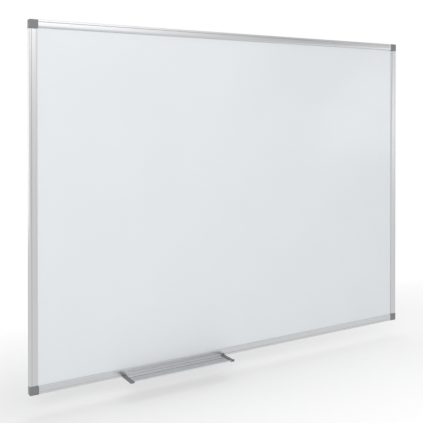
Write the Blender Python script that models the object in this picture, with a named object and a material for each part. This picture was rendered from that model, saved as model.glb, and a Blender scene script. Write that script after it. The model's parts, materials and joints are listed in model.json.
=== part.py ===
# Wall-hung magnetic whiteboard: a steel-faced panel held in four aluminium rails,
# plastic corner bodies with snap-on covers, and a pen tray that slides along the bottom rail.
#
# Metres, +Z up, +X to the right as the reader sees the board, and -Y towards the reader.
# The origin is on the wall plane, at the middle of the top rail's rear face.
import math

import bmesh
import bpy
from mathutils import Matrix, Vector

# Whole board
BOARD_WIDTH = 1.200
BOARD_HEIGHT = 0.900
FRAME_DEPTH = 0.014            # wall plane to the front of the rails
SEAT_GAP = 0.0003              # between pieces that rest on each other
CUT_OVERRUN = 0.004            # how far a cutter runs past the faces that it opens

# Rail section: u runs inward from the board's outer edge, v from the wall to the reader
RAIL_FACE = 0.0195
OUTER_WALL = 0.0016
FRONT_WALL = 0.0014
REAR_WALL = 0.0013
CHAMBER_WIDTH = 0.0064         # the hollow that takes the corner bodies' legs
WEB_WALL = 0.0013
LIP_RETURN_WALL = 0.0012
LIP_RETURN_DROP = 0.0013       # how far the lip's inner edge turns back towards the panel
LIP_BEVEL = 0.0013
REAR_FLANGE_WIDTH = 0.0078
REAR_FLANGE_WALL = 0.0012
REAR_FLANGE_SETBACK = 0.0016   # from the wall plane to the flange behind the panel
FRONT_EDGE_RADIUS = 0.0012
REAR_EDGE_CHAMFER = 0.0005
GROOVE_FROM_EDGE = 0.0056      # fine line along the face of the rail
GROOVE_WIDTH = 0.0011
GROOVE_DEPTH = 0.0006
TRACK_FROM_WALL = 0.0040       # slot along the rail's outer side, where the tray's bead runs
TRACK_WIDTH = 0.0024
TRACK_DEPTH = 0.0009

# Panel
FACE_SHEET_THICKNESS = 0.0006
BACK_SHEET_THICKNESS = 0.0004
PANEL_EDGE_GAP = 0.0004        # from the rail's web to the panel's edge
PANEL_CORNER_CROP = 0.0105

# Corner covers
COVER_SIDE = 0.022
COVER_WALL = 0.0014
COVER_PROUD = 0.0003           # how far its front stands out from the rails
COVER_SKIRT_WALL = 0.0012
COVER_OUTER_RADIUS = 0.0020
COVER_SIDE_RADIUS = 0.0010
COVER_INNER_RADIUS = 0.0045
COVER_FRONT_ROUND = 0.0007
COVER_REAR_SETBACK = 0.0004
SPIGOT_WALL = 0.0012
SPIGOT_LENGTH = 0.0035
SPIGOT_ROOT = 0.0006           # how far the spigot runs into the cover's front plate

# Corner bodies
LEG_CLEARANCE = 0.00035
LEG_LENGTH = 0.038             # inside each rail
LEG_LEAD_IN = 0.003
LEG_LEAD_DROP = 0.0008
LEG_ROOT = 0.0040              # how far a leg runs back into the body
CROP_CLEARANCE = 0.0005
WALL_HOLE_DIAMETER = 0.0065
SCREW_HEAD_RECESS_DIAMETER = 0.012
SCREW_HEAD_RECESS_DEPTH = 0.005
SCREW_HEAD_RECESS_WALL = 0.0012  # left between that recess and the body's outer sides

# Countersunk screws that tie the rails to the corner bodies
SCREW_FROM_RAIL_END = 0.018
SCREW_HEAD_DIAMETER = 0.0056
SCREW_HEAD_HEIGHT = 0.0014
SCREW_SHANK_DIAMETER = 0.0029
SCREW_LENGTH = 0.0085
SCREW_TIP_LENGTH = 0.0018
SCREW_TIP_DIAMETER = 0.0008
SCREW_HEAD_SUNK = 0.00015
RECESS_REACH = 0.0032
RECESS_ARM = 0.0007
RECESS_DEPTH = 0.0009
PILOT_EXTRA_DEPTH = 0.0010

# Pen tray: y and z are measured from the bottom rail's front outer edge
TRAY_LENGTH = 0.300
TRAY_CENTRE_X = -0.2097        # from the middle of the board
TRAY_WALL = 0.0015
TRAY_REACH = 0.0535            # from the rail's face to the front of the lip
TRAY_FLOOR_LIFT = 0.0023       # top of the floor at its back, above the board's bottom edge
TRAY_FLOOR_RISE = 0.0010       # the floor climbs this much towards the lip
TRAY_LIP_HEIGHT = 0.0020
TRAY_LIP_ROUND_SHARE = 0.45    # of the tray's wall
TRAY_KEEL_RADIUS = 0.0018
UPSTAND_PAST_GROOVE = 0.0005   # how far the tray's back stands above the rail's groove
TONGUE_INTO_GROOVE = 0.00015   # past the rail's face
PEN_GROOVE_FROM_RAIL = 0.020   # line along the tray's floor
PEN_GROOVE_WIDTH = 0.0026
PEN_GROOVE_DEPTH = 0.0010
PEN_GROOVE_FLAT_SHARE = 0.4    # of its width, along its bottom

# Tray ends: a plate with a sleeve that wraps the end of the tray
END_THICKNESS = 0.0020
END_SKIN = 0.0009              # of the sleeve
END_SLEEVE_LENGTH = 0.0072     # over the tray
END_SHOULDER = 0.0003          # how far the plate stands past the sleeve
END_RETURN = 0.0095            # how far the sleeve comes back under the floor
END_FRONT_RADIUS = 0.0016
END_BACK_RADIUS = 0.0006
END_ROOT = 0.0008              # how far the sleeve runs into the plate

# Counts and angles
ARC_STEPS = 4
ROUND_STEPS = 32
SCREW_STEPS = 20
SHARP_ANGLE = 30               # degrees; edges sharper than this stay crisp

# Places that follow from the sizes above
web_inner = OUTER_WALL + CHAMBER_WIDTH + WEB_WALL
chamber_middle = OUTER_WALL + CHAMBER_WIDTH / 2
top_edge = web_inner / 2                       # world z of the board's top edge
bottom_edge = top_edge - BOARD_HEIGHT
middle_z = (top_edge + bottom_edge) / 2
lip_bottom = FRAME_DEPTH - FRONT_WALL - LIP_RETURN_DROP
panel_front = lip_bottom - SEAT_GAP
flange_front = REAR_FLANGE_SETBACK + REAR_FLANGE_WALL
panel_rear = flange_front + SEAT_GAP
rail_end_inset = COVER_SIDE + SEAT_GAP
panel_inset = web_inner + PANEL_EDGE_GAP
crop_line = 2 * panel_inset + PANEL_CORNER_CROP
cover_front = FRAME_DEPTH + COVER_PROUD
cover_ceiling = FRAME_DEPTH - FRONT_WALL       # underside of the cover's front plate
body_front = cover_ceiling - SEAT_GAP
body_inset = COVER_WALL + SEAT_GAP
wall_hole_inset = body_inset + SCREW_HEAD_RECESS_WALL + SCREW_HEAD_RECESS_DIAMETER / 2
wall_hole_place = (wall_hole_inset, wall_hole_inset)
tray_back_front = SEAT_GAP + TRAY_WALL         # front of the tray's back, from the rail's face
tray_foot_under = -SEAT_GAP - TRAY_WALL
lip_inner_face = TRAY_REACH - TRAY_WALL
upstand_top = GROOVE_FROM_EDGE + GROOVE_WIDTH / 2 + UPSTAND_PAST_GROOVE

corners = {
    "bottom_left": (-BOARD_WIDTH / 2, bottom_edge, 0),
    "top_left": (-BOARD_WIDTH / 2, top_edge, 90),
    "top_right": (BOARD_WIDTH / 2, top_edge, 180),
    "bottom_right": (BOARD_WIDTH / 2, bottom_edge, 270),
}
sides = {
    "rail_bottom": (0, bottom_edge, 0, BOARD_WIDTH),
    "rail_left": (-BOARD_WIDTH / 2, middle_z, 90, BOARD_HEIGHT),
    "rail_top": (0, top_edge, 180, BOARD_WIDTH),
    "rail_right": (BOARD_WIDTH / 2, middle_z, 270, BOARD_HEIGHT),
}


def clear_scene():
    for thing in list(bpy.data.objects):
        bpy.data.objects.remove(thing, do_unlink=True)


def make_material(name, colour, roughness, metallic):
    material = bpy.data.materials.new(name)
    material.use_nodes = True
    shader = material.node_tree.nodes["Principled BSDF"]
    shader.inputs["Base Color"].default_value = (*colour, 1)
    shader.inputs["Roughness"].default_value = roughness
    shader.inputs["Metallic"].default_value = metallic
    material.diffuse_color = (*colour, 1)
    return material


def rounded(points, radii, steps=ARC_STEPS):
    """The outline with each corner of a given radius replaced by an arc."""
    outline = []
    count = len(points)
    for index, corner in enumerate(points):
        radius = radii.get(index, 0)
        corner = Vector(corner)
        if radius == 0:
            outline.append(corner)
            continue
        back = (Vector(points[index - 1]) - corner).normalized()
        ahead = (Vector(points[(index + 1) % count]) - corner).normalized()
        half_angle = back.angle(ahead) / 2
        centre = corner + (back + ahead).normalized() * (radius / math.sin(half_angle))
        start = corner + back * (radius / math.tan(half_angle)) - centre
        end = corner + ahead * (radius / math.tan(half_angle)) - centre
        sweep = start.angle_signed(end)
        for step in range(steps + 1):
            outline.append(centre + Matrix.Rotation(-sweep * step / steps, 2) @ start)
    return outline


def stack_outlines(bm, layers, place):
    """A closed solid through outlines of equal point counts, each at its own level."""
    rings = [[bm.verts.new(place(point, level)) for point in outline] for outline, level in layers]
    count = len(rings[0])
    for lower, upper in zip(rings, rings[1:]):
        for index in range(count):
            following = (index + 1) % count
            bm.faces.new((lower[index], lower[following], upper[following], upper[index]))
    bm.faces.new(rings[0])
    bm.faces.new(rings[-1])
    bmesh.ops.recalc_face_normals(bm, faces=bm.faces)


def turn_profile(bm, profile, steps, centre):
    """A solid of revolution about the Y axis; profile is a list of (radius, depth from the wall)."""
    rings = []
    for radius, depth in profile:
        ring = []
        for step in range(steps):
            angle = math.tau * step / steps
            across = centre[0] + radius * math.cos(angle)
            upward = centre[1] + radius * math.sin(angle)
            ring.append(bm.verts.new((across, -depth, upward)))
        rings.append(ring)
    for lower, upper in zip(rings, rings[1:]):
        for index in range(steps):
            following = (index + 1) % steps
            bm.faces.new((lower[index], lower[following], upper[following], upper[index]))
    bm.faces.new(rings[0])
    bm.faces.new(rings[-1])
    bmesh.ops.recalc_face_normals(bm, faces=bm.faces)


def along_rail(point, level):
    return Vector((level, -point[1], point[0]))


def facing_reader(point, level):
    return Vector((point[0], -level, point[1]))


def along_tray(point, level):
    return Vector((level, point[0], point[1]))


def add_object(name, bm, material=None):
    mesh = bpy.data.meshes.new(name)
    bm.to_mesh(mesh)
    bm.free()
    if material:
        mesh.materials.append(material)
    thing = bpy.data.objects.new(name, mesh)
    bpy.context.scene.collection.objects.link(thing)
    return thing


def smooth_rounds(thing):
    thing.data.shade_smooth()
    thing.data.set_sharp_from_angle(angle=math.radians(SHARP_ANGLE))


def solid(name, layers, place, material=None):
    bm = bmesh.new()
    stack_outlines(bm, layers, place)
    return add_object(name, bm, material)


def prism(name, outline, low, high, place, material=None):
    return solid(name, [(outline, low), (outline, high)], place, material)


def turned(name, profile, steps, centre=(0, 0), material=None):
    bm = bmesh.new()
    turn_profile(bm, profile, steps, centre)
    return add_object(name, bm, material)


def combine(target, tool, operation):
    """Keep the tool as a hidden guide and let a Boolean modifier read it."""
    tool.hide_render = True
    tool.display_type = "WIRE"
    tool.parent = target
    change = target.modifiers.new(tool.name, "BOOLEAN")
    change.operation = operation
    change.solver = "EXACT"
    change.object = tool


def put(thing, across, upward, degrees):
    thing.location = (across, 0, upward)
    thing.rotation_euler = (0, math.radians(degrees), 0)


def rail_section():
    """The rail's outline without its hollow, as (u, v)."""
    lip_inner = RAIL_FACE - LIP_RETURN_WALL
    groove_half = GROOVE_WIDTH / 2
    points = [
        (REAR_EDGE_CHAMFER, 0),
        (0, REAR_EDGE_CHAMFER),
        (0, TRACK_FROM_WALL),
        (TRACK_DEPTH, TRACK_FROM_WALL),
        (TRACK_DEPTH, TRACK_FROM_WALL + TRACK_WIDTH),
        (0, TRACK_FROM_WALL + TRACK_WIDTH),
        (0, FRAME_DEPTH),
        (GROOVE_FROM_EDGE - groove_half, FRAME_DEPTH),
        (GROOVE_FROM_EDGE, FRAME_DEPTH - GROOVE_DEPTH),
        (GROOVE_FROM_EDGE + groove_half, FRAME_DEPTH),
        (RAIL_FACE - LIP_BEVEL, FRAME_DEPTH),
        (RAIL_FACE, FRAME_DEPTH - LIP_BEVEL),
        (RAIL_FACE, lip_bottom),
        (lip_inner, lip_bottom),
        (lip_inner, FRAME_DEPTH - FRONT_WALL),
        (web_inner, FRAME_DEPTH - FRONT_WALL),
        (web_inner, flange_front),
        (web_inner + REAR_FLANGE_WIDTH, flange_front),
        (web_inner + REAR_FLANGE_WIDTH, REAR_FLANGE_SETBACK),
        (web_inner, REAR_FLANGE_SETBACK),
        (web_inner, 0),
    ]
    return rounded(points, {6: FRONT_EDGE_RADIUS})


def chamber_section():
    far_side = OUTER_WALL + CHAMBER_WIDTH
    ceiling = FRAME_DEPTH - FRONT_WALL
    return [(OUTER_WALL, REAR_WALL), (OUTER_WALL, ceiling), (far_side, ceiling), (far_side, REAR_WALL)]


def screw_profile(radial_gap, sunk, length):
    """Countersunk screw, or its hole where radial_gap is more than zero."""
    head = SCREW_HEAD_DIAMETER / 2 + radial_gap
    shank = SCREW_SHANK_DIAMETER / 2 + radial_gap
    return [(head, sunk), (shank, SCREW_HEAD_SUNK + SCREW_HEAD_HEIGHT), (shank, length)]


def make_rail(name, material):
    across, upward, degrees, full_length = sides[name]
    half = full_length / 2 - rail_end_inset
    rail = prism(name, rail_section(), -half, half, along_rail, material)
    put(rail, across, upward, degrees)
    hollow = prism(name + "_hollow", chamber_section(), -half - CUT_OVERRUN, half + CUT_OVERRUN, along_rail)
    combine(rail, hollow, "DIFFERENCE")
    for end, place in (("a", SCREW_FROM_RAIL_END - half), ("b", half - SCREW_FROM_RAIL_END)):
        profile = screw_profile(SEAT_GAP, SCREW_HEAD_SUNK, REAR_WALL + CUT_OVERRUN)
        profile.insert(0, (profile[0][0], -CUT_OVERRUN))
        hole = turned(name + "_hole_" + end, profile, SCREW_STEPS, (place, chamber_middle))
        combine(rail, hole, "DIFFERENCE")
    return rail


def cropped_panel(inset):
    """The panel's outline in world x and z, its corners cut off at 45 degrees."""
    side = BOARD_WIDTH / 2 - inset
    high = top_edge - inset
    low = bottom_edge + inset
    crop = PANEL_CORNER_CROP
    return [
        (-side, low + crop), (-side + crop, low), (side - crop, low), (side, low + crop),
        (side, high - crop), (side - crop, high), (-side + crop, high), (-side, high - crop),
    ]


def make_panel(face_material, core_material, back_material):
    outline = cropped_panel(panel_inset)
    face_rear = panel_front - FACE_SHEET_THICKNESS
    back_front = panel_rear + BACK_SHEET_THICKNESS
    prism("steel_face_sheet", outline, face_rear, panel_front, facing_reader, face_material)
    prism("core_board", outline, back_front + SEAT_GAP, face_rear - SEAT_GAP, facing_reader, core_material)
    prism("back_sheet", outline, panel_rear, back_front, facing_reader, back_material)


def body_outline():
    """The corner body under its cover, as distances from the board's two outer edges."""
    inner = panel_inset - SEAT_GAP
    far = COVER_SIDE - SEAT_GAP
    bend = crop_line - CROP_CLEARANCE - inner
    return [
        (body_inset, body_inset), (far, body_inset), (far, inner), (bend, inner),
        (inner, bend), (inner, far), (body_inset, far),
    ]


def leg_outline(margin):
    low = OUTER_WALL + LEG_CLEARANCE + margin
    high = OUTER_WALL + CHAMBER_WIDTH - LEG_CLEARANCE - margin
    near = REAR_WALL + LEG_CLEARANCE + margin
    far = FRAME_DEPTH - FRONT_WALL - LEG_CLEARANCE - margin
    return [(low, near), (low, far), (high, far), (high, near)]


def make_leg(name, place):
    tip = rail_end_inset + LEG_LENGTH
    layers = [
        (leg_outline(0), COVER_SIDE - LEG_ROOT),
        (leg_outline(0), tip - LEG_LEAD_IN),
        (leg_outline(LEG_LEAD_DROP), tip),
    ]
    return solid(name, layers, place)


def up_the_side(point, level):
    return Vector((point[0], -point[1], level))


def make_corner_body(corner, material):
    across, upward, degrees = corners[corner]
    body = prism("corner_body_" + corner, body_outline(), 0, body_front, facing_reader, material)
    put(body, across, upward, degrees)
    combine(body, make_leg("leg_flat_" + corner, along_rail), "UNION")
    combine(body, make_leg("leg_upright_" + corner, up_the_side), "UNION")
    hole = WALL_HOLE_DIAMETER / 2
    recess = SCREW_HEAD_RECESS_DIAMETER / 2
    seat = body_front - SCREW_HEAD_RECESS_DEPTH
    profile = [
        (hole, -CUT_OVERRUN), (hole, seat), (recess, seat), (recess, body_front + CUT_OVERRUN),
    ]
    bore = turned("wall_hole_" + corner, profile, ROUND_STEPS, wall_hole_place)
    combine(body, bore, "DIFFERENCE")
    along = rail_end_inset + SCREW_FROM_RAIL_END
    for suffix, centre in (("flat_", (along, chamber_middle)), ("upright_", (chamber_middle, along))):
        profile = screw_profile(SEAT_GAP, 0, SCREW_LENGTH + PILOT_EXTRA_DEPTH)
        profile.insert(0, (profile[0][0], -CUT_OVERRUN))
        pilot = turned("pilot_" + suffix + corner, profile, SCREW_STEPS, centre)
        combine(body, pilot, "DIFFERENCE")
    return body


def cover_outline(margin):
    """The cover's front outline, drawn in by a margin."""
    low = margin
    high = COVER_SIDE - margin
    points = [(low, low), (high, low), (high, high), (low, high)]
    radii = {
        0: COVER_OUTER_RADIUS - margin / 2,
        1: COVER_SIDE_RADIUS - margin / 2,
        2: COVER_INNER_RADIUS - margin,
        3: COVER_SIDE_RADIUS - margin / 2,
    }
    return rounded(points, radii)


def cover_pocket():
    """Room for the corner body and the roots of its legs."""
    far = COVER_SIDE - COVER_SKIRT_WALL
    past = COVER_SIDE + CUT_OVERRUN
    points = [
        (COVER_WALL, COVER_WALL), (past, COVER_WALL), (past, panel_inset), (far, panel_inset),
        (far, far), (panel_inset, far), (panel_inset, past), (COVER_WALL, past),
    ]
    return rounded(points, {4: COVER_INNER_RADIUS - COVER_SKIRT_WALL})


def make_cover(corner, material):
    across, upward, degrees = corners[corner]
    layers = [(cover_outline(0), COVER_REAR_SETBACK)]
    for step in range(ARC_STEPS):
        angle = math.pi / 2 * step / (ARC_STEPS - 1)
        drawn_in = COVER_FRONT_ROUND * (1 - math.cos(angle))
        raised = COVER_FRONT_ROUND * (1 - math.sin(angle))
        layers.append((cover_outline(drawn_in), cover_front - raised))
    cover = solid("corner_cover_" + corner, layers, facing_reader, material)
    put(cover, across, upward, degrees)
    pocket = prism("pocket_" + corner, cover_pocket(), -CUT_OVERRUN, cover_ceiling, facing_reader)
    combine(cover, pocket, "DIFFERENCE")
    past = COVER_SIDE + CUT_OVERRUN
    over_panel = [(body_inset, body_inset), (past, body_inset), (past, past), (body_inset, past)]
    clearance = prism("over_panel_" + corner, over_panel, -CUT_OVERRUN, lip_bottom, facing_reader)
    combine(cover, clearance, "DIFFERENCE")
    outer = SCREW_HEAD_RECESS_DIAMETER / 2 - SEAT_GAP
    inner = outer - SPIGOT_WALL
    start = cover_ceiling - SPIGOT_LENGTH
    ring = [(outer, start), (outer, cover_ceiling + SPIGOT_ROOT)]
    combine(cover, turned("spigot_" + corner, ring, ROUND_STEPS, wall_hole_place), "UNION")
    core = [(inner, start - CUT_OVERRUN), (inner, cover_ceiling)]
    combine(cover, turned("spigot_core_" + corner, core, ROUND_STEPS, wall_hole_place), "DIFFERENCE")
    return cover


def cross_outline():
    reach = RECESS_REACH / 2
    arm = RECESS_ARM / 2
    return [
        (-reach, -arm), (-arm, -arm), (-arm, -reach), (arm, -reach), (arm, -arm), (reach, -arm),
        (reach, arm), (arm, arm), (arm, reach), (-arm, reach), (-arm, arm), (-reach, arm),
    ]


def make_screws(corner, material):
    across, upward, degrees = corners[corner]
    along = rail_end_inset + SCREW_FROM_RAIL_END
    turn = Matrix.Rotation(math.radians(degrees), 3, "Y")
    for number, offset in enumerate(((along, chamber_middle), (chamber_middle, along)), 1):
        name = "rail_screw_%s_%d" % (corner, number)
        profile = screw_profile(0, SCREW_HEAD_SUNK, SCREW_LENGTH - SCREW_TIP_LENGTH)
        profile.append((SCREW_TIP_DIAMETER / 2, SCREW_LENGTH))
        screw = turned(name, profile, SCREW_STEPS, (0, 0), material)
        smooth_rounds(screw)
        screw.location = Vector((across, 0, upward)) + turn @ Vector((offset[0], 0, offset[1]))
        slots = prism(name + "_recess", cross_outline(), -CUT_OVERRUN, SCREW_HEAD_SUNK + RECESS_DEPTH,
                      facing_reader)
        combine(screw, slots, "DIFFERENCE")


def floor_height(forward):
    """Height of the tray floor's top at a distance in front of the rail's face."""
    climb = (forward - tray_back_front) / (lip_inner_face - tray_back_front)
    return TRAY_FLOOR_LIFT + TRAY_FLOOR_RISE * climb


def pen_groove(below):
    """The groove's four points, from back to front, on a surface this far below the floor's top."""
    half = PEN_GROOVE_WIDTH / 2
    flat = half * PEN_GROOVE_FLAT_SHARE
    points = []
    for offset, drop in ((-half, 0), (-flat, PEN_GROOVE_DEPTH), (flat, PEN_GROOVE_DEPTH), (half, 0)):
        forward = PEN_GROOVE_FROM_RAIL + offset
        points.append((-forward, floor_height(forward) - below - drop))
    return points


def tray_section():
    """The tray's outline as (y, z) from the bottom rail's front outer edge."""
    back = -tray_back_front
    rear = -SEAT_GAP
    bead_rear = FRAME_DEPTH - TRACK_FROM_WALL - SEAT_GAP
    bead_front = FRAME_DEPTH - TRACK_FROM_WALL - TRACK_WIDTH + SEAT_GAP
    bead_top = TRACK_DEPTH - SEAT_GAP
    lip_radius = TRAY_WALL * TRAY_LIP_ROUND_SHARE
    lip_top = floor_height(lip_inner_face) + TRAY_LIP_HEIGHT
    groove_half = GROOVE_WIDTH / 2
    points = [(back, upstand_top), (back, floor_height(tray_back_front))]
    radii = {0: lip_radius}
    points += pen_groove(0)
    points.append((-lip_inner_face, floor_height(lip_inner_face)))
    points.append((-lip_inner_face, lip_top))
    radii[len(points) - 1] = lip_radius
    points.append((-TRAY_REACH, lip_top))
    radii[len(points) - 1] = lip_radius
    points.append((-TRAY_REACH, floor_height(TRAY_REACH) - TRAY_WALL))
    radii[len(points) - 1] = TRAY_KEEL_RADIUS
    points += pen_groove(TRAY_WALL)[::-1]
    points.append((back, floor_height(tray_back_front) - TRAY_WALL))
    points.append((back, tray_foot_under))
    radii[len(points) - 1] = lip_radius
    points += [
        (bead_rear, tray_foot_under),
        (bead_rear, bead_top),
        (bead_front, bead_top),
        (bead_front, -SEAT_GAP),
        (rear, -SEAT_GAP),
        (rear, GROOVE_FROM_EDGE - groove_half),
        (TONGUE_INTO_GROOVE, GROOVE_FROM_EDGE),
        (rear, GROOVE_FROM_EDGE + groove_half),
        (rear, upstand_top),
    ]
    return rounded(points, radii, ARC_STEPS - 1)


def over_tray(margin, top):
    """A line a margin off the tray: down its back, along the floor, over the lip and down its front."""
    behind = tray_back_front + margin
    inner = lip_inner_face - margin
    front = TRAY_REACH + margin
    lip_top = floor_height(lip_inner_face) + TRAY_LIP_HEIGHT + margin
    return [
        (-behind, top),
        (-behind, floor_height(behind) + margin),
        (-inner, floor_height(inner) + margin),
        (-inner, lip_top),
        (-front, lip_top),
        (-front, floor_height(front) - TRAY_WALL - margin),
    ]


def end_outline():
    """The end plate's outline, a shoulder larger than the sleeve."""
    margin = SEAT_GAP + END_SKIN + END_SHOULDER
    behind = tray_back_front + margin
    points = over_tray(margin, upstand_top + END_SHOULDER)
    points += [
        (-behind, floor_height(behind) - TRAY_WALL - margin),
        (-behind, tray_foot_under),
        (-SEAT_GAP, tray_foot_under),
        (-SEAT_GAP, upstand_top + END_SHOULDER),
    ]
    radii = {0: END_BACK_RADIUS, 3: END_BACK_RADIUS, 4: END_FRONT_RADIUS, 5: END_FRONT_RADIUS}
    return rounded(points, radii)


def sleeve_outline():
    """The skin over the tray's end, open at the back and under most of the floor."""
    margin = SEAT_GAP + END_SKIN
    start = TRAY_REACH - END_RETURN
    under = floor_height(start) - TRAY_WALL
    points = over_tray(margin, upstand_top)
    points += [(-start, under - margin), (-start, under - SEAT_GAP)]
    points += over_tray(SEAT_GAP, upstand_top)[::-1]
    radii = {3: END_BACK_RADIUS, 4: END_FRONT_RADIUS, 5: END_FRONT_RADIUS}
    return rounded(points, radii)


def make_tray(tray_material, end_material):
    place = Vector((TRAY_CENTRE_X, -FRAME_DEPTH, bottom_edge))
    half = TRAY_LENGTH / 2
    tray = prism("pen_tray", tray_section(), -half, half, along_tray, tray_material)
    tray.location = place
    smooth_rounds(tray)
    for name, side in (("tray_end_left", -1), ("tray_end_right", 1)):
        seat = side * (half + SEAT_GAP)
        far = side * (half + SEAT_GAP + END_THICKNESS)
        end = prism(name, end_outline(), seat, far, along_tray, end_material)
        end.location = place
        root = seat + side * END_ROOT
        mouth = side * (half - END_SLEEVE_LENGTH)
        combine(end, prism(name + "_sleeve", sleeve_outline(), mouth, root, along_tray), "UNION")


def main():
    clear_scene()
    anodised = make_material("anodised_aluminium", (0.60, 0.61, 0.62), 0.34, 1.0)
    white_steel = make_material("white_enamelled_steel", (0.83, 0.86, 0.88), 0.18, 0.0)
    fibreboard = make_material("fibreboard", (0.42, 0.33, 0.24), 0.90, 0.0)
    galvanised = make_material("galvanised_steel", (0.52, 0.54, 0.56), 0.42, 1.0)
    grey_plastic = make_material("grey_plastic", (0.22, 0.225, 0.23), 0.52, 0.0)
    key_plastic = make_material("corner_body_plastic", (0.10, 0.10, 0.105), 0.58, 0.0)
    dark_plastic = make_material("tray_end_plastic", (0.085, 0.087, 0.09), 0.50, 0.0)
    zinc = make_material("zinc_plated_steel", (0.62, 0.63, 0.65), 0.32, 1.0)

    make_panel(white_steel, fibreboard, galvanised)
    for name in sides:
        make_rail(name, anodised)
    for corner in corners:
        make_corner_body(corner, key_plastic)
        make_cover(corner, grey_plastic)
        make_screws(corner, zinc)
    make_tray(anodised, dark_plastic)


main()
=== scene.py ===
import json
import math

import bmesh
import bpy
from mathutils import Matrix, Vector


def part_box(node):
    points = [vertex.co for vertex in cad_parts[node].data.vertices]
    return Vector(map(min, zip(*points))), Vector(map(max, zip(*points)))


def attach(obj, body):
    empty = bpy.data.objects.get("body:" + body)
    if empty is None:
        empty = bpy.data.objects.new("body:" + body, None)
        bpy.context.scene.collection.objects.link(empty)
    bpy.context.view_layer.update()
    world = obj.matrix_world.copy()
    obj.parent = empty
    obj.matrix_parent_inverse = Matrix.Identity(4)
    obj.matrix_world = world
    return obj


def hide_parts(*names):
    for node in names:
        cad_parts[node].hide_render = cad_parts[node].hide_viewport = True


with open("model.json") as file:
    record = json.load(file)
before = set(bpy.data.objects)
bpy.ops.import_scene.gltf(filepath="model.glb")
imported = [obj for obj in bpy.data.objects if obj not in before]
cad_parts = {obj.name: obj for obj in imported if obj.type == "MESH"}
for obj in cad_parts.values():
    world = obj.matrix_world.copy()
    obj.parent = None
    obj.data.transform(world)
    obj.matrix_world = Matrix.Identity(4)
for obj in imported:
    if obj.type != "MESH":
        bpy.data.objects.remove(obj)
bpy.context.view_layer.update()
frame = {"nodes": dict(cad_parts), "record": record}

# Magnetic whiteboard in its aluminium frame. Metres, +Z up, -Y towards the reader,
# with the origin on the wall behind the top rail, half way along it.

print("frame loaded,", len(frame["nodes"]), "nodes")

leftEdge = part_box("rail_left")[0].x
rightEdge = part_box("rail_right")[1].x
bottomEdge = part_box("rail_bottom")[0].z
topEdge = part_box("rail_top")[1].z
middleZ = (bottomEdge + topEdge) / 2
frameDepth = -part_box("rail_left")[0].y        # wall to the front of the rails
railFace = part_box("rail_left")[1].x - leftEdge
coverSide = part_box("corner_cover_top_left")[1].x - leftEdge
panelFront = -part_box("steel_face_sheet")[0].y
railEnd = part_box("rail_bottom")[1].x          # the bottom rail's right-hand end

seatGap = 0.0003              # between pieces that fit together
corners = {                   # name in the nodes, across, up, and degrees turned about Y
    "BottomLeft": ("bottom_left", leftEdge, bottomEdge, 0),
    "TopLeft": ("top_left", leftEdge, topEdge, 90),
    "TopRight": ("top_right", rightEdge, topEdge, 180),
    "BottomRight": ("bottom_right", rightEdge, bottomEdge, 270),
}


# Camera

cameraLook = {
    "place": (-1.0427, -1.6285, middleZ + 0.2256),
    "yaw": 30.34,          # degrees to the right of square on
    "pitch": -0.46,        # degrees, looking slightly down
    "lens": 57.9,          # mm
    "sensor": 36.0,        # mm
    "shiftY": -0.2194,
    "clipStart": 0.01,
}


def placeCamera():
    data = bpy.data.cameras.new("photoCamera")
    data.lens = cameraLook["lens"]
    data.sensor_width = cameraLook["sensor"]
    data.shift_y = cameraLook["shiftY"]
    data.clip_start = cameraLook["clipStart"]
    camera = bpy.data.objects.new("photoCamera", data)
    bpy.context.scene.collection.objects.link(camera)
    camera.location = cameraLook["place"]
    camera.rotation_euler = (
        math.radians(90 + cameraLook["pitch"]), 0, -math.radians(cameraLook["yaw"]))
    bpy.context.scene.camera = camera


placeCamera()
print("camera placed")


# Small helpers for node trees

usualNoise = (0.3, 0.7)        # most of a noise's values lie between these


def addNode(tree, kind, inputs=None, **settings):
    node = tree.nodes.new(kind)
    for name, value in settings.items():
        setattr(node, name, value)
    for name, value in (inputs or {}).items():
        if isinstance(value, bpy.types.NodeSocket):
            tree.links.new(value, node.inputs[name])
        else:
            node.inputs[name].default_value = value
    return node


def startMaterial(name, **values):
    material = bpy.data.materials.new(name)
    material.use_nodes = True
    shader = material.node_tree.nodes["Principled BSDF"]
    for socket, value in values.items():
        shader.inputs[socket].default_value = value
    return material, material.node_tree, shader


def noise(tree, scale, detail=3.0, stretch=(1, 1, 1)):     # scale is per metre
    place = addNode(tree, "ShaderNodeTexCoord").outputs["Object"]
    squeezed = addNode(tree, "ShaderNodeMapping", {"Vector": place, "Scale": stretch})
    grain = addNode(tree, "ShaderNodeTexNoise",
                    {"Vector": squeezed.outputs["Vector"], "Scale": scale, "Detail": detail})
    return grain.outputs["Fac"]


def spread(tree, source, low, high):       # a noise's usual values, stretched to low and high
    stretched = addNode(tree, "ShaderNodeMapRange", {
        "Value": source, "From Min": usualNoise[0], "From Max": usualNoise[1],
        "To Min": low, "To Max": high})
    return stretched.outputs["Result"]


def tint(tree, source, first, second, between=usualNoise):
    ramp = addNode(tree, "ShaderNodeValToRGB", {"Fac": source})
    for end, position, colour in zip(ramp.color_ramp.elements, between, (first, second)):
        end.position = position
        end.color = (*colour, 1)
    return ramp.outputs["Color"]


def coat(tree, shader, colour, grain, rough):      # rough is (least, most), and follows the grain
    tree.links.new(colour, shader.inputs["Base Color"])
    tree.links.new(spread(tree, grain, *rough), shader.inputs["Roughness"])


def roughen(tree, shader, height, distance):
    bump = addNode(tree, "ShaderNodeBump", {"Height": height, "Distance": distance})
    tree.links.new(bump.outputs["Normal"], shader.inputs["Normal"])


# Finishes

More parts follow.
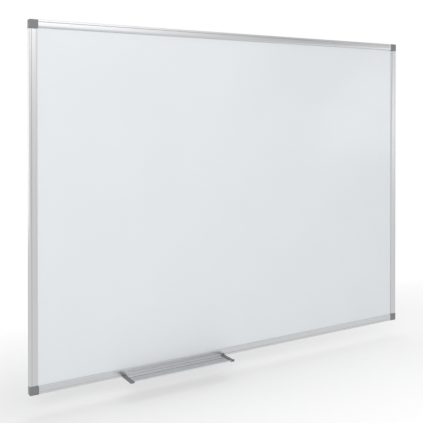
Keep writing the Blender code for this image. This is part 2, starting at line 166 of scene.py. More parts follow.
anodisedTones = {              # painted shade: how much of the tone is left deep in a groove
    "railAluminium": {"dark": (0.54, 0.545, 0.555), "light": (0.62, 0.625, 0.635),
                      "recessShade": 0.45, "recessShadeReach": 0.0012},
    "trayAluminium": {"dark": (0.61, 0.62, 0.635), "light": (0.67, 0.68, 0.695),
                      "recessShade": 0.04, "recessShadeReach": 0.0022},
}
anodisedLook = {
    "rough": (0.27, 0.38),
    "lineScale": 7.0,
    "lineDetail": 4.0,
    "lineStretch": (0.25, 120, 120),      # fine lines along the extrusion
    "lineDepth": 0.00003,
    "recessShadeSamples": 6,
    "recessShadeFull": 0.4,          # how open a place is where the painted shade is darkest
    "recessShadeNone": 0.95,         # and where there is no painted shade
}


def makeAnodised(name):
    look = anodisedLook
    tones = anodisedTones[name]
    material, tree, shader = startMaterial(name, Metallic=1.0)
    lines = noise(tree, look["lineScale"], look["lineDetail"], look["lineStretch"])
    tone = tint(tree, lines, tones["dark"], tones["light"])
    # painted shade: ambient occlusion darkens the tone in grooves and recesses
    openness = addNode(tree, "ShaderNodeAmbientOcclusion", {"Distance": tones["recessShadeReach"]},
                       only_local=True, samples=look["recessShadeSamples"]).outputs["AO"]
    shadeFactor = addNode(tree, "ShaderNodeMapRange", {
        "Value": openness, "From Min": look["recessShadeFull"], "From Max": look["recessShadeNone"],
        "To Min": tones["recessShade"], "To Max": 1.0}).outputs["Result"]
    shadedTone = addNode(tree, "ShaderNodeVectorMath", {0: tone, 1: shadeFactor}, operation="MULTIPLY")
    coat(tree, shader, shadedTone.outputs["Vector"], lines, look["rough"])
    roughen(tree, shader, lines, look["lineDepth"])
    return material


enamelLook = {
    "cool": (0.81, 0.845, 0.87),
    "warm": (0.83, 0.86, 0.88),
    "rough": (0.13, 0.19),
    "ior": 1.5,
    "cloudScale": 5.0,
    "peelScale": 300.0,
    "peelDetail": 2.0,
    "peelDepth": 0.000006,
}


def makeEnamel():
    look = enamelLook
    material, tree, shader = startMaterial("whiteEnamel", IOR=look["ior"])
    clouds = noise(tree, look["cloudScale"])
    peel = noise(tree, look["peelScale"], look["peelDetail"])
    coat(tree, shader, tint(tree, clouds, look["cool"], look["warm"]), peel, look["rough"])
    roughen(tree, shader, peel, look["peelDepth"])
    return material


galvanisedLook = {
    "dark": (0.43, 0.45, 0.47),
    "light": (0.54, 0.56, 0.58),
    "between": (0.1, 0.9),    # the crystals' values that are dark and light
    "rough": (0.36, 0.52),
    "flowerScale": 90.0,      # the zinc's crystals, about 11 mm
    "fineScale": 540.0,
    "depth": 0.00001,
}


def makeGalvanised():
    look = galvanisedLook
    material, tree, shader = startMaterial("galvanisedSteel", Metallic=1.0)
    place = addNode(tree, "ShaderNodeTexCoord").outputs["Object"]
    flowers = addNode(tree, "ShaderNodeTexVoronoi",
                      {"Vector": place, "Scale": look["flowerScale"]}).outputs["Color"]
    tone = addNode(tree, "ShaderNodeRGBToBW", {"Color": flowers}).outputs["Val"]
    colour = tint(tree, tone, look["dark"], look["light"], look["between"])
    coat(tree, shader, colour, noise(tree, look["fineScale"]), look["rough"])
    roughen(tree, shader, tone, look["depth"])
    return material


fibreLook = {
    "dark": (0.30, 0.22, 0.15),
    "light": (0.50, 0.40, 0.29),
    "rough": 0.9,
    "fibreScale": 40.0,
    "fibreDetail": 5.0,
    "stretch": (12, 12, 60),
    "depth": 0.0002,
}


def makeFibreboard():
    look = fibreLook
    material, tree, shader = startMaterial("fibreboard", Roughness=look["rough"])
    fibres = noise(tree, look["fibreScale"], look["fibreDetail"], look["stretch"])
    tree.links.new(tint(tree, fibres, look["dark"], look["light"]), shader.inputs["Base Color"])
    roughen(tree, shader, fibres, look["depth"])
    return material


plasticTones = {
    "coverPlastic": {"dark": (0.205, 0.208, 0.212), "light": (0.235, 0.238, 0.242),
                     "rough": (0.42, 0.56)},
    "bodyPlastic": {"dark": (0.085, 0.086, 0.090), "light": (0.110, 0.111, 0.116),
                    "rough": (0.46, 0.60)},
    "trayEndPlastic": {"dark": (0.155, 0.156, 0.159), "light": (0.195, 0.196, 0.199),
                       "rough": (0.40, 0.54)},
}
plasticLook = {"ior": 1.47, "grainScale": 1800.0, "grainDetail": 2.0, "grainDepth": 0.00003}


def makePlastic(name):
    look = plasticLook
    tones = plasticTones[name]
    material, tree, shader = startMaterial(name, IOR=look["ior"])
    grain = noise(tree, look["grainScale"], look["grainDetail"])
    coat(tree, shader, tint(tree, grain, tones["dark"], tones["light"]), grain, tones["rough"])
    roughen(tree, shader, grain, look["grainDepth"])
    return material


zincLook = {
    "dark": (0.50, 0.51, 0.53),
    "light": (0.68, 0.68, 0.67),
    "rough": (0.24, 0.38),
    "scale": 700.0,
    "depth": 0.00001,
}


def makeZinc():
    look = zincLook
    material, tree, shader = startMaterial("zincPlate", Metallic=1.0)
    stains = noise(tree, look["scale"])
    coat(tree, shader, tint(tree, stains, look["dark"], look["light"]), stains, look["rough"])
    roughen(tree, shader, stains, look["depth"])
    return material


trayAluminium = makeAnodised("trayAluminium")
finishes = {
    "anodised_aluminium": makeAnodised("railAluminium"),
    "white_enamelled_steel": makeEnamel(),
    "fibreboard": makeFibreboard(),
    "galvanised_steel": makeGalvanised(),
    "grey_plastic": makePlastic("coverPlastic"),
    "corner_body_plastic": makePlastic("bodyPlastic"),
    "tray_end_plastic": makePlastic("trayEndPlastic"),
    "zinc_plated_steel": makeZinc(),
}
print("finishes made")


# Every CAD node gets the finish of its slot

def dressNodes():
    for part in frame["record"]["subparts"]:
        data = frame["nodes"][part["node"]].data
        data.materials.clear()
        data.materials.append(finishes[part["material_slot"]])


dressNodes()
print("nodes dressed")


# Small helpers for shapes

crispAngle = 35          # degrees; sharper edges stay crisp
cutOverrun = 0.004       # how far a cutting shape goes past what it cuts
arcSteps = 5             # facets of a rounded corner
edgeSteps = 4            # facets across a rounded edge


def rounded(outline, steps=arcSteps):   # outline is (first, second, radius) at each corner
    path = []
    for index, (first, second, radius) in enumerate(outline):
        corner = Vector((first, second))
        if radius == 0:
            path.append(corner)
            continue
        back = (Vector(outline[index - 1][:2]) - corner).normalized()
        ahead = (Vector(outline[(index + 1) % len(outline)][:2]) - corner).normalized()
        half = back.angle(ahead) / 2
        centre = corner + (back + ahead).normalized() * (radius / math.sin(half))
        begin = corner + back * (radius / math.tan(half)) - centre
        finish = corner + ahead * (radius / math.tan(half)) - centre
        sweep = begin.angle_signed(finish)
        for step in range(steps + 1):
            path.append(centre + Matrix.Rotation(-sweep * step / steps, 2) @ begin)
    return path


def drawnIn(path, margin):              # the same outline, a margin smaller all round
    count = len(path)
    area = sum(path[index - 1].x * path[index].y - path[index].x * path[index - 1].y
               for index in range(count))
    turn = 1 if area > 0 else -1
    smaller = []
    for index, point in enumerate(path):
        before = (point - path[index - 1]).normalized()
        after = (path[(index + 1) % count] - point).normalized()
        sideBefore = Vector((-before.y, before.x)) * turn
        sideAfter = Vector((-after.y, after.x)) * turn
        middle = (sideBefore + sideAfter).normalized()
        smaller.append(point + middle * (margin / middle.dot(sideAfter)))
    return smaller


def alongX(point, level):               # a section given as (up, out), swept along X
    return Vector((level, -point[1], point[0]))


def sideways(point, level):             # a section given as (y, z), swept along X
    return Vector((level, point[0], point[1]))


def towardsReader(point, level):        # an outline on the wall, level is its distance out
    return Vector((point[0], -level, point[1]))


def newObject(name, bm):
    mesh = bpy.data.meshes.new(name)
    bm.to_mesh(mesh)
    bm.free()
    piece = bpy.data.objects.new(name, mesh)
    bpy.context.scene.collection.objects.link(piece)
    return piece


def loft(name, layers, place):          # layers are (outline, level), with as many points in each
    bm = bmesh.new()
    rings = [[bm.verts.new(place(point, level)) for point in path] for path, level in layers]
    count = len(rings[0])
    for lower, upper in zip(rings, rings[1:]):
        for index in range(count):
            following = (index + 1) % count
            bm.faces.new((lower[index], lower[following], upper[following], upper[index]))
    bm.faces.new(rings[0])
    bm.faces.new(rings[-1])
    bmesh.ops.recalc_face_normals(bm, faces=bm.faces)
    return newObject(name, bm)


def turned(name, profile, steps, centre=(0, 0)):      # profile is (radius, distance out)
    angles = [math.tau * step / steps for step in range(steps)]
    layers = []
    for radius, out in profile:
        circle = [(centre[0] + radius * math.cos(angle), centre[1] + radius * math.sin(angle))
                  for angle in angles]
        layers.append((circle, out))
    return loft(name, layers, towardsReader)


def sweepHollow(name, outlines, low, high, place):    # the outer outline, then any hollow's
    bm = bmesh.new()
    capEdges = {low: [], high: []}
    for path in outlines:
        rings = {level: [bm.verts.new(place(point, level)) for point in path]
                 for level in (low, high)}
        for index in range(len(path)):
            following = (index + 1) % len(path)
            bm.faces.new((rings[low][index], rings[low][following],
                          rings[high][following], rings[high][index]))
            for level, ring in rings.items():
                capEdges[level].append(bm.edges.get((ring[index], ring[following])))
    for edges in capEdges.values():
        bmesh.ops.triangle_fill(bm, use_beauty=True, edges=edges)
    bmesh.ops.recalc_face_normals(bm, faces=bm.faces)
    return newObject(name, bm)


def roundOver(outline, low, high, radius, steps=edgeSteps):      # a prism whose far edge is round
    side = 1 if high > low else -1
    layers = [(outline, low)]
    for step in range(steps + 1):
        angle = math.pi / 2 * step / steps
        layers.append((drawnIn(outline, radius * (1 - math.cos(angle))),
                       high - side * radius * (1 - math.sin(angle))))
    return layers


def join(piece, tool, operation):       # cuts or adds the tool, which is then thrown away
    change = piece.modifiers.new(tool.name, "BOOLEAN")
    change.operation = operation
    change.solver = "EXACT"
    change.object = tool
    bpy.context.view_layer.update()
    seen = piece.evaluated_get(bpy.context.evaluated_depsgraph_get())
    shape = bpy.data.meshes.new_from_object(seen)
    piece.modifiers.clear()
    piece.data = shape
    bpy.data.objects.remove(tool, do_unlink=True)


def standAt(piece, across, upward, degrees):
    piece.location = (across, 0, upward)
    piece.rotation_euler = (0, math.radians(degrees), 0)


def finishPiece(piece, body, node, slot, finish=None):
    piece.data.shade_smooth()
    piece.data.set_sharp_from_angle(angle=math.radians(crispAngle))
    piece.data.materials.clear()
    piece.data.materials.append(finish or finishes[slot])
    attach(piece, body)
    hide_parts(node)


# Rails: a point of a section is how far in from the board's edge, and how far out from the wall

railLook = {
    "outerWall": 0.0016,
    "frontWall": 0.0014,
    "rearWall": 0.0013,
    "chamber": 0.0064,
    "web": 0.0013,                 # between the chamber and the panel
    "returnWall": 0.0012,          # of the lip that comes down onto the panel
    "bevel": 0.0011,
    "flangeWidth": 0.0078,         # behind the panel
    "flangeWall": 0.0012,
    "flangeSetback": 0.0016,
    "frontRadius": 0.0012,
    "edgeRadius": 0.0003,
    "rearRadius": 0.0005,
    "bevelRadius": 0.0005,
    "grooveFromEdge": 0.0056,      # a fine line along the face
    "grooveWidth": 0.0011,
    "grooveDepth": 0.0006,
    "grooveRadius": 0.0001,
    "trackFromWall": 0.0040,       # in the outer side, for the tray's bead
    "trackWidth": 0.0024,
    "trackDepth": 0.0009,
    "slopeWidth": 0.0046,          # shallow slope down to the writing surface
    "slopeDrop": 0.0003,
    "slopeRadius": 0.006,
}
chamberFar = railLook["outerWall"] + railLook["chamber"]
chamberMiddle = railLook["outerWall"] + railLook["chamber"] / 2
webInner = chamberFar + railLook["web"]
railCeiling = frameDepth - railLook["frontWall"]      # inside of the front wall
lipBottom = panelFront + seatGap
railEndInset = rightEdge - railEnd


def railSection():
    look = railLook
    soft = look["edgeRadius"]
    fine = look["grooveRadius"]
    half = look["grooveWidth"] / 2
    track = look["trackFromWall"]
    lipInner = railFace - look["returnWall"]
    flangeFront = look["flangeSetback"] + look["flangeWall"]
    slopeFoot = frameDepth - look["slopeDrop"]
    return rounded([
        (0, 0, look["rearRadius"]),
        (0, track, fine),
        (look["trackDepth"], track, soft),
        (look["trackDepth"], track + look["trackWidth"], soft),
        (0, track + look["trackWidth"], fine),
        (0, frameDepth, look["frontRadius"]),
        (look["grooveFromEdge"] - half, frameDepth, fine),
        (look["grooveFromEdge"], frameDepth - look["grooveDepth"], fine),
        (look["grooveFromEdge"] + half, frameDepth, fine),
        (railFace - look["slopeWidth"], frameDepth, look["slopeRadius"]),
        (railFace - look["bevel"], slopeFoot, look["bevelRadius"]),
        (railFace, slopeFoot - look["bevel"], look["bevelRadius"]),
        (railFace, lipBottom, soft),
        (lipInner, lipBottom, soft),
        (lipInner, railCeiling, 0),
        (webInner, railCeiling, 0),
        (webInner, flangeFront, 0),
        (webInner + look["flangeWidth"], flangeFront, soft),
        (webInner + look["flangeWidth"], look["flangeSetback"], soft),
        (webInner, look["flangeSetback"], soft),
        (webInner, 0, soft),
    ])


def chamberSection():
    soft = railLook["edgeRadius"]
    near = railLook["outerWall"]
    floorLevel = railLook["rearWall"]
    return rounded([(near, floorLevel, soft), (near, railCeiling, soft),
                    (chamberFar, railCeiling, soft), (chamberFar, floorLevel, soft)])


screwLook = {
    "fromRailEnd": 0.018,
    "head": 0.0056,
    "headHeight": 0.0014,
    "shank": 0.0029,
    "length": 0.0085,
    "tip": 0.0018,
    "tipDiameter": 0.0008,
    "sunk": 0.00015,               # below the rail's rear face
    "rimRadius": 0.0001,
    "slotReach": 0.0032,
    "slotArm": 0.0007,
    "slotDepth": 0.0009,
    "slotTaper": 0.0002,
    "steps": 36,
}
screwSeat = screwLook["sunk"] + screwLook["headHeight"]
screwAlong = railEndInset + screwLook["fromRailEnd"]
screwPlaces = ((screwAlong, chamberMiddle), (chamberMiddle, screwAlong))     # two to a corner


def screwBore(coneFrom, end):           # wide for the head, down to the width of the shank
    wide = screwLook["head"] / 2 + seatGap
    narrow = screwLook["shank"] / 2 + seatGap
    return [(wide, -cutOverrun), (wide, coneFrom), (narrow, screwSeat), (narrow, end)]


def makeRail(side, across, upward, degrees, fullLength):
    half = fullLength / 2 - railEndInset
    rail = sweepHollow(side + "Rail", [railSection(), chamberSection()], -half, half, alongX)
    bore = screwBore(screwLook["sunk"], railLook["rearWall"] + cutOverrun)
    for place in (screwLook["fromRailEnd"] - half, half - screwLook["fromRailEnd"]):
        hole = turned("screwHole", bore, screwLook["steps"], (place, chamberMiddle))
        join(rail, hole, "DIFFERENCE")
    standAt(rail, across, upward, degrees)
    finishPiece(rail, "board", "rail_" + side, "anodised_aluminium")


boardWidth = rightEdge - leftEdge
boardHeight = topEdge - bottomEdge
makeRail("bottom", 0, bottomEdge, 0, boardWidth)
makeRail("left", leftEdge, middleZ, 90, boardHeight)
makeRail("top", 0, topEdge, 180, boardWidth)
makeRail("right", rightEdge, middleZ, 270, boardHeight)
print("rails made")


# Screws behind the board

def makeScrew(corner, number, along, inward):
    name, across, upward, degrees = corners[corner]
    look = screwLook
    rim = look["rimRadius"]
    profile = [(look["head"] / 2 - rim, look["sunk"]),
               (look["head"] / 2, look["sunk"] + rim),
               (look["shank"] / 2, screwSeat),
               (look["shank"] / 2, look["length"] - look["tip"]),
               (look["tipDiameter"] / 2, look["length"])]
    screw = turned("screw" + corner + str(number), profile, look["steps"])
    reach = look["slotReach"] / 2
    arm = look["slotArm"] / 2
    cross = [Vector(point) for point in (
        (-reach, -arm), (-arm, -arm), (-arm, -reach), (arm, -reach), (arm, -arm), (reach, -arm),
        (reach, arm), (arm, arm), (arm, reach), (-arm, reach), (-arm, arm), (-reach, arm))]
    floorLevel = look["sunk"] + look["slotDepth"]
    slots = loft("crossSlots", [(cross, -cutOverrun), (cross, look["sunk"]),
                                (drawnIn(cross, look["slotTaper"]), floorLevel)], towardsReader)
    join(screw, slots, "DIFFERENCE")
    turn = Matrix.Rotation(math.radians(degrees), 3, "Y")
    screw.location = Vector((across, 0, upward)) + turn @ Vector((along, 0, inward))
    finishPiece(screw, "board", "rail_screw_%s_%d" % (name, number), "zinc_plated_steel")


for corner in corners:
    for number, (along, inward) in enumerate(screwPlaces, 1):
        makeScrew(corner, number, along, inward)
print("screws made")


# Corners: a moulded body with a leg in each rail and the wall screw's hole, and a cover over it

coverLook = {
    "wall": 0.0014,
    "proud": 0.0003,               # of the rails' face
    "skirtWall": 0.0012,           # of the sides that come down onto the panel
    "outerRadius": 0.0020,
    "sideRadius": 0.0010,
    "innerRadius": 0.0045,
    "frontRound": 0.0008,
    "rearSetback": 0.0004,         # from the wall
    "crownRise": 0.00012,          # the front swells a little towards its middle
    "crownShares": (0.82, 0.60, 0.35),
    "spigotWall": 0.0012,
    "spigotLength": 0.0035,
    "spigotRoot": 0.0006,
    "arcSteps": 8,
    "edgeSteps": 5,
    "steps": 48,
}
bodyLook = {
    "legClearance": 0.00035,
    "legLength": 0.038,            # inside each rail
    "legRoot": 0.0040,             # how far it starts inside the body
    "legRadius": 0.0005,
    "leadIn": 0.003,               # the tapered end of the leg
    "leadDrop": 0.0008,
    "panelCrop": 0.0105,           # cut off the panel's corner
    "cropClearance": 0.0005,
    "edgeRadius": 0.0006,
    "edgeRound": 0.0004,
    "wallHole": 0.0065,
    "screwRecess": 0.012,
    "recessDepth": 0.005,
    "recessWall": 0.0012,
    "rimBevel": 0.0004,
    "pilotExtra": 0.0010,          # past the tips of the rails' screws
    "arcSteps": 3,
    "steps": 48,
}
bodyInset = coverLook["wall"] + seatGap
bodyFront = railCeiling - seatGap
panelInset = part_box("steel_face_sheet")[0].x - leftEdge
wallHoleInset = bodyInset + bodyLook["recessWall"] + bodyLook["screwRecess"] / 2
wallHolePlace = (wallHoleInset, wallHoleInset)


def upTheSide(point, level):            # like alongX, for the rail that stands on this corner
    return Vector((point[0], -point[1], level))


def bodyOutline():
    look = bodyLook
    soft = look["edgeRadius"]
    inner = panelInset - seatGap
    far = coverSide - seatGap
    bend = 2 * panelInset + look["panelCrop"] - look["cropClearance"] - inner
    return rounded([
        (bodyInset, bodyInset, soft), (far, bodyInset, soft), (far, inner, soft),
        (bend, inner, soft), (inner, bend, soft),
        (inner, far, soft), (bodyInset, far, soft)], look["arcSteps"])


def legLayers():
    look = bodyLook
    soft = look["legRadius"]
    low = railLook["outerWall"] + look["legClearance"]
    high = chamberFar - look["legClearance"]
    near = railLook["rearWall"] + look["legClearance"]
    far = railCeiling - look["legClearance"]
    outline = rounded([
        (low, near, soft), (low, far, soft),
        (high, far, soft), (high, near, soft)], look["arcSteps"])
    middle = Vector(((low + high) / 2, (near + far) / 2))
    share = look["leadDrop"] / (high - low) * 2
    smaller = [point.lerp(middle, share) for point in outline]
    tip = railEndInset + look["legLength"]
    return [(outline, coverSide - look["legRoot"]), (outline, tip - look["leadIn"]),
            (smaller, tip)]


def wallHoleProfile():                  # the screw's hole, and the recess for its head
    look = bodyLook
    hole = look["wallHole"] / 2
    recess = look["screwRecess"] / 2
    bevel = look["rimBevel"]
    seat = bodyFront - look["recessDepth"]
    return [(hole + bevel, -cutOverrun), (hole + bevel, 0), (hole, bevel), (hole, seat),
            (recess, seat), (recess, bodyFront - bevel), (recess + bevel, bodyFront),
            (recess + bevel, bodyFront + cutOverrun)]


def makeCornerBody(corner):
    name, across, upward, degrees = corners[corner]
    look = bodyLook
    outline = bodyOutline()
    middle = bodyFront / 2
    layers = roundOver(outline, middle, 0, look["edgeRound"])[::-1]
    layers += roundOver(outline, middle, bodyFront, look["edgeRound"])[1:]
    body = loft("body" + corner, layers, towardsReader)
    for place in (alongX, upTheSide):
        join(body, loft("leg", legLayers(), place), "UNION")
    hole = turned("wallHole", wallHoleProfile(), look["steps"], wallHolePlace)
    join(body, hole, "DIFFERENCE")
    pilot = screwBore(0, screwLook["length"] + look["pilotExtra"])
    for centre in screwPlaces:
        join(body, turned("pilotHole", pilot, screwLook["steps"], centre), "DIFFERENCE")
    standAt(body, across, upward, degrees)
    finishPiece(body, "board", "corner_body_" + name, "corner_body_plastic")


for corner in corners:
    makeCornerBody(corner)
print("corner bodies made")


# Corner covers

def crowned(layers):                    # inner rings on the far end, drawn towards its middle
    rim, level = layers[-1]
    middle = sum(rim, Vector((0, 0))) / len(rim)
    crown = []
    for share in coverLook["crownShares"]:
        ring = [middle + (point - middle) * share for point in rim]
        crown.append((ring, level + coverLook["crownRise"] * (1 - share ** 2)))
    return layers + crown


def coverShell(name):
    look = coverLook
    side = look["sideRadius"]
    outline = rounded([
        (0, 0, look["outerRadius"]), (coverSide, 0, side),
        (coverSide, coverSide, look["innerRadius"]), (0, coverSide, side)], look["arcSteps"])
    front = frameDepth + look["proud"]
    layers = roundOver(outline, look["rearSetback"], front, look["frontRound"], look["edgeSteps"])
    return loft(name, crowned(layers), towardsReader)


def hollowOut(cover):                   # room for the rails and the panel, then for the body
    look = coverLook
    wall = look["wall"]
    past = coverSide + cutOverrun
    far = coverSide - look["skirtWall"]
    room = rounded([
        (wall, wall, 0), (past, wall, 0), (past, panelInset, 0), (far, panelInset, 0),
        (far, far, look["innerRadius"] - look["skirtWall"]),
        (panelInset, far, 0), (panelInset, past, 0), (wall, past, 0)])
    clear = [Vector(point) for point in (
        (bodyInset, bodyInset), (past, bodyInset), (past, past), (bodyInset, past))]
    for outline, depth in ((room, railCeiling), (clear, lipBottom)):
        tool = loft("coverRoom", [(outline, -cutOverrun), (outline, depth)], towardsReader)
        join(cover, tool, "DIFFERENCE")


def addSpigot(cover):                   # a hollow peg that sits in the screw's recess
    look = coverLook
    outer = bodyLook["screwRecess"] / 2 - seatGap
    inner = outer - look["spigotWall"]
    tip = railCeiling - look["spigotLength"]
    root = railCeiling + look["spigotRoot"]
    profile = [(outer - seatGap, tip), (outer, tip + seatGap), (outer, root)]
    spigot = turned("spigot", profile, look["steps"], wallHolePlace)
    join(cover, spigot, "UNION")
    bore = [(inner, tip - cutOverrun), (inner, railCeiling)]
    join(cover, turned("spigotCore", bore, look["steps"], wallHolePlace), "DIFFERENCE")


def makeCover(corner):
    name, across, upward, degrees = corners[corner]
    cover = coverShell("cover" + corner)
    hollowOut(cover)
    addSpigot(cover)
    standAt(cover, across, upward, degrees)
    finishPiece(cover, "cover_" + name, "corner_cover_" + name, "grey_plastic")


for corner in corners:
    makeCover(corner)
print("covers made")


# Pen tray: a point of a section is (y, z) from the lower front edge of the rail

trayLook = {
    "wall": 0.0015,
    "floorLift": 0.0023,           # the floor's top at the back, above the rail's lower edge
    "floorRise": 0.0010,           # from there to the lip
    "lipHeight": 0.0020,
    "keelRadius": 0.0018,          # under the lip
    "foldRadius": 0.0006,          # where the floor turns up
    "edgeRadius": 0.0003,
    "lipRadius": 0.00070,
    "upstandPast": 0.0005,         # above the rail's groove
    "tongueReach": 0.00015,        # into the rail's groove
    "penGrooveFrom": 0.020,
    "penGrooveWidth": 0.0021,
    "penGrooveDepth": 0.0013,
    "penGrooveFlat": 0.88,         # share of its width
    "penGrooveRadius": 0.0001,
    "ridgeExtra": 0.0009,          # how much wider the ridge under it is, each way
}
trayLow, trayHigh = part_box("pen_tray")
trayReach = -frameDepth - trayLow.y
trayHalf = (trayHigh.x - trayLow.x) / 2
trayPlace = Vector(((trayLow.x + trayHigh.x) / 2, -frameDepth, bottomEdge))
trayBack = seatGap + trayLook["wall"]
lipInner = trayReach - trayLook["wall"]
upstandTop = railLook["grooveFromEdge"] + railLook["grooveWidth"] / 2 + trayLook["upstandPast"]


def trayFloor(forward):                 # how high the floor's top is, that far from the rail
    climb = (forward - trayBack) / (lipInner - trayBack)
    return trayLook["floorLift"] + trayLook["floorRise"] * climb


def penGroove(below, extra):            # from back to front; below is how far under the top
    look = trayLook
    half = look["penGrooveWidth"] / 2 + extra
    flat = half * look["penGrooveFlat"]
    deep = look["penGrooveDepth"]
    points = []
    for offset, drop in ((-half, 0), (-flat, deep), (flat, deep), (half, 0)):
        forward = look["penGrooveFrom"] + offset
        points.append((-forward, trayFloor(forward) - below - drop, look["penGrooveRadius"]))
    return points


def traySection():
    look = trayLook
    wall = look["wall"]
    soft = look["edgeRadius"]
    beadRear = frameDepth - railLook["trackFromWall"] - seatGap
    beadFront = frameDepth - railLook["trackFromWall"] - railLook["trackWidth"] + seatGap
    beadTop = railLook["trackDepth"] - seatGap
    lipTop = trayFloor(lipInner) + look["lipHeight"]
    grooveHalf = railLook["grooveWidth"] / 2
    tongue = railLook["grooveFromEdge"]
    points = [(-trayBack, upstandTop, look["lipRadius"]),
              (-trayBack, trayFloor(trayBack), look["foldRadius"])]
    points += penGroove(0, 0)
    points += [
        (-lipInner, trayFloor(lipInner), look["foldRadius"]),
        (-lipInner, lipTop, look["lipRadius"]),
        (-trayReach, lipTop, look["lipRadius"]),
        (-trayReach, trayFloor(trayReach) - wall, look["keelRadius"]),
    ]
    points += penGroove(wall, look["ridgeExtra"])[::-1]
    points += [
        (-trayBack, trayFloor(trayBack) - wall, 0),
        (-trayBack, -trayBack, look["lipRadius"]),
        (beadRear, -trayBack, soft),
        (beadRear, beadTop, 0),
        (beadFront, beadTop, 0),
        (beadFront, -seatGap, 0),
        (-seatGap, -seatGap, 0),
        (-seatGap, tongue - grooveHalf, 0),
        (look["tongueReach"], tongue, 0),
        (-seatGap, tongue + grooveHalf, 0),
        (-seatGap, upstandTop, soft),
    ]
    return rounded(points)


def makeTray():
    tray = sweepHollow("penTray", [traySection()], -trayHalf, trayHalf, sideways)
    tray.location = trayPlace
    finishPiece(tray, "tray", "pen_tray", "anodised_aluminium", trayAluminium)


makeTray()
print("tray made")


# Tray ends

endLook = {
    "thickness": 0.0020,
    "skin": 0.0009,            # of the sleeve that goes over the tray
    "sleeve": 0.0072,          # its length over the tray
    "shoulder": 0.0003,        # how far the plate stands past the sleeve
    "comesBack": 0.0095,       # how far the sleeve comes back under the floor
    "frontRadius": 0.0016,
    "backRadius": 0.0006,
    "innerRadius": 0.0004,
    "hemRadius": 0.0003,       # of the sleeve's edge under the floor
    "edgeRound": 0.0004,
    "root": 0.0008,            # how far the sleeve starts inside the plate
}


def overTray(margin, top, lipRadius, frontRadius):      # the tray's outline, a margin bigger
    behind = trayBack + margin
    inner = lipInner - margin
    ahead = trayReach + margin
    lipTop = trayFloor(lipInner) + trayLook["lipHeight"] + margin
    return [
        (-behind, top, 0),
        (-behind, trayFloor(behind) + margin, endLook["innerRadius"]),
        (-inner, trayFloor(inner) + margin, endLook["innerRadius"]),
        (-inner, lipTop, lipRadius),
        (-ahead, lipTop, frontRadius),
        (-ahead, trayFloor(ahead) - trayLook["wall"] - margin, frontRadius),
    ]


def endOutline():
    look = endLook
    margin = seatGap + look["skin"] + look["shoulder"]
    behind = trayBack + margin
    top = upstandTop + look["shoulder"]
    points = overTray(margin, top, look["backRadius"], look["frontRadius"])
    points[0] = (-behind, top, look["backRadius"])
    return rounded(points + [
        (-behind, trayFloor(behind) - trayLook["wall"] - margin, look["innerRadius"]),
        (-behind, -trayBack, look["backRadius"]),
        (-seatGap, -trayBack, 0),
        (-seatGap, top, 0),
    ])


def sleeveOutline():
    look = endLook
    margin = seatGap + look["skin"]
    begin = trayReach - look["comesBack"]
    under = trayFloor(begin) - trayLook["wall"]
    points = overTray(margin, upstandTop, look["backRadius"], look["frontRadius"])
    points += [(-begin, under - gap, look["hemRadius"]) for gap in (margin, seatGap)]
    return rounded(points + overTray(seatGap, upstandTop, 0, look["innerRadius"])[::-1])


def makeTrayEnd(side, node, direction):
    look = endLook
    seat = direction * (trayHalf + seatGap)
    far = seat + direction * look["thickness"]
    end = loft("trayEnd" + side, roundOver(endOutline(), seat, far, look["edgeRound"]), sideways)
    root = seat + direction * look["root"]
    mouth = direction * (trayHalf - look["sleeve"])
    sleeve = sleeveOutline()
    join(end, loft("traySleeve", [(sleeve, root), (sleeve, mouth)], sideways), "UNION")
    end.location = trayPlace
    finishPiece(end, "tray", node, "tray_end_plastic")


makeTrayEnd("Left", "tray_end_left", -1)
makeTrayEnd("Right", "tray_end_right", 1)
print("tray ends made")


# Floor, grey card, sky and lamps

floorLook = {
    "height": bottomEdge - 0.050,
    "half": 14.0,
    "grey": 0.80,
    "lift": 0.30,         # how much of the floor's white doesn't take shadow
    "pool": (0.3, 1, 0),  # the shaded floor's shape, longer along the board
    "poolShift": (0.09, -0.08, 0),
    "fadeFrom": 0.08,     # metres from its middle, where the floor starts to turn plain white
    "fadeTo": 0.62,
    "white": 1.0,
}


def most(tree, first, second):
    return addNode(tree, "ShaderNodeMath", {0: first, 1: second}, operation="MAXIMUM").outputs[0]


def blended(tree, share, first, second):
    both = addNode(tree, "ShaderNodeMixShader", {"Fac": share})
    tree.links.new(first.outputs[0], both.inputs[1])
    tree.links.new(second.outputs[0], both.inputs[2])
    return both


def stageSheet(name, points):           # a flat sheet of the studio
    bm = bmesh.new()
    bm.faces.new([bm.verts.new(point) for point in points])
    sheet = newObject(name, bm)
    material = bpy.data.materials.new(name + "Surface")
    material.use_nodes = True
    material.node_tree.nodes.clear()
    sheet.data.materials.append(material)
    return sheet, material.node_tree


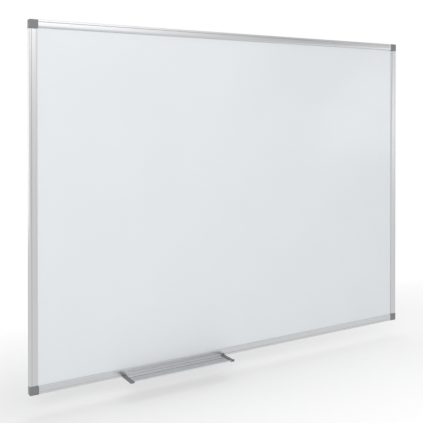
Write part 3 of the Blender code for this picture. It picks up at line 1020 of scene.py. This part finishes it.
def layFloor():
    look = floorLook
    half = look["half"]
    level = look["height"]
    floor, tree = stageSheet("floor", [
        (-half, -half, level), (half, -half, level), (half, half, level), (-half, half, level)])
    grey = look["grey"]
    plain = addNode(tree, "ShaderNodeBsdfDiffuse", {"Color": (grey, grey, grey, 1)})
    share = grey * (1 - look["lift"])
    shaded = addNode(tree, "ShaderNodeBsdfDiffuse", {"Color": (share, share, share, 1)})
    lifted = addNode(tree, "ShaderNodeEmission", {"Strength": look["lift"]})
    near = addNode(tree, "ShaderNodeAddShader")
    tree.links.new(shaded.outputs[0], near.inputs[0])
    tree.links.new(lifted.outputs[0], near.inputs[1])
    place = addNode(tree, "ShaderNodeTexCoord").outputs["Object"]
    pool = addNode(tree, "ShaderNodeMapping", {
        "Vector": place, "Scale": look["pool"], "Location": look["poolShift"]})
    away = addNode(tree, "ShaderNodeVectorMath", {0: pool.outputs["Vector"]},
                   operation="LENGTH").outputs["Value"]
    fade = addNode(tree, "ShaderNodeMapRange", {
        "Value": away, "From Min": look["fadeFrom"], "From Max": look["fadeTo"]})
    white = addNode(tree, "ShaderNodeEmission", {"Strength": look["white"]})
    path = addNode(tree, "ShaderNodeLightPath")
    mirrored = most(tree, path.outputs["Is Glossy Ray"], path.outputs["Is Transmission Ray"])
    seen = blended(tree, fade.outputs["Result"], near, white)
    direct = blended(tree, path.outputs["Is Camera Ray"], plain, seen)
    whole = blended(tree, mirrored, direct, white)
    output = addNode(tree, "ShaderNodeOutputMaterial")
    tree.links.new(whole.outputs[0], output.inputs["Surface"])


cardLook = {"left": 1.45, "right": 2.20, "low": -0.15, "high": 0.85, "out": 2.0, "grey": 0.40}


def standCard():                        # in front, to the right, and only gloss shows it
    look = cardLook
    card, tree = stageSheet("greyCard", [
        (look["left"], -look["out"], look["low"]), (look["right"], -look["out"], look["low"]),
        (look["right"], -look["out"], look["high"]), (look["left"], -look["out"], look["high"])])
    card.visible_camera = False
    card.visible_diffuse = False
    card.visible_transmission = False
    card.visible_shadow = False
    grey = addNode(tree, "ShaderNodeEmission", {"Strength": look["grey"]})
    output = addNode(tree, "ShaderNodeOutputMaterial")
    tree.links.new(grey.outputs[0], output.inputs["Surface"])


skyLook = {"light": 0.55, "seen": 1.0, "colour": (1, 1, 1, 1)}


def hangSky():
    look = skyLook
    world = bpy.data.worlds.new("studio")
    world.use_nodes = True
    bpy.context.scene.world = world
    tree = world.node_tree
    tree.nodes.clear()
    light, seen = [
        addNode(tree, "ShaderNodeBackground", {"Color": look["colour"], "Strength": look[use]})
        for use in ("light", "seen")]
    path = addNode(tree, "ShaderNodeLightPath")
    mirrored = most(tree, path.outputs["Is Glossy Ray"], path.outputs["Is Transmission Ray"])
    whole = blended(tree, most(tree, path.outputs["Is Camera Ray"], mirrored), light, seen)
    output = addNode(tree, "ShaderNodeOutputWorld")
    tree.links.new(whole.outputs[0], output.inputs["Surface"])


lamps = {
    "keyLamp": {
        "place": (-1.9, -2.2, 1.1), "aim": (-0.2, 0, middleZ), "size": (1.6, 1.6), "power": 26},
    "topLamp": {
        "place": (0.3, 0.35, 1.5), "aim": (0, 0, middleZ), "size": (2.4, 2.0), "power": 25},
    "frontLamp": {
        "place": (-0.05, -2.4, 0.7), "aim": (-0.4, 0, 0), "size": (1.7, 0.8), "power": 7.0},
    "rightLamp": {
        "place": (2.9, -2.4, -0.2), "aim": (rightEdge, 0, middleZ), "size": (1.0, 0.7), "power": 2.5},
    "rimLamp": {
        "place": (-1.3, 2.0, -0.25), "aim": (leftEdge, 0, middleZ), "size": (1.0, 1.3), "power": 4.2},
}
softLamps = ("keyLamp", "topLamp")       # they light the board and leave no glint in the metal


def hangLamps():
    for name, look in lamps.items():
        data = bpy.data.lights.new(name, "AREA")
        data.shape = "RECTANGLE"
        data.size, data.size_y = look["size"]
        data.energy = look["power"]
        lamp = bpy.data.objects.new(name, data)
        bpy.context.scene.collection.objects.link(lamp)
        lamp.visible_camera = False
        lamp.visible_glossy = name not in softLamps
        lamp.location = look["place"]
        direction = Vector(look["aim"]) - Vector(look["place"])
        lamp.rotation_euler = direction.to_track_quat("-Z", "Y").to_euler()


layFloor()
standCard()
hangSky()
hangLamps()
bpy.context.scene.view_settings.view_transform = "Standard"
print("studio lit")
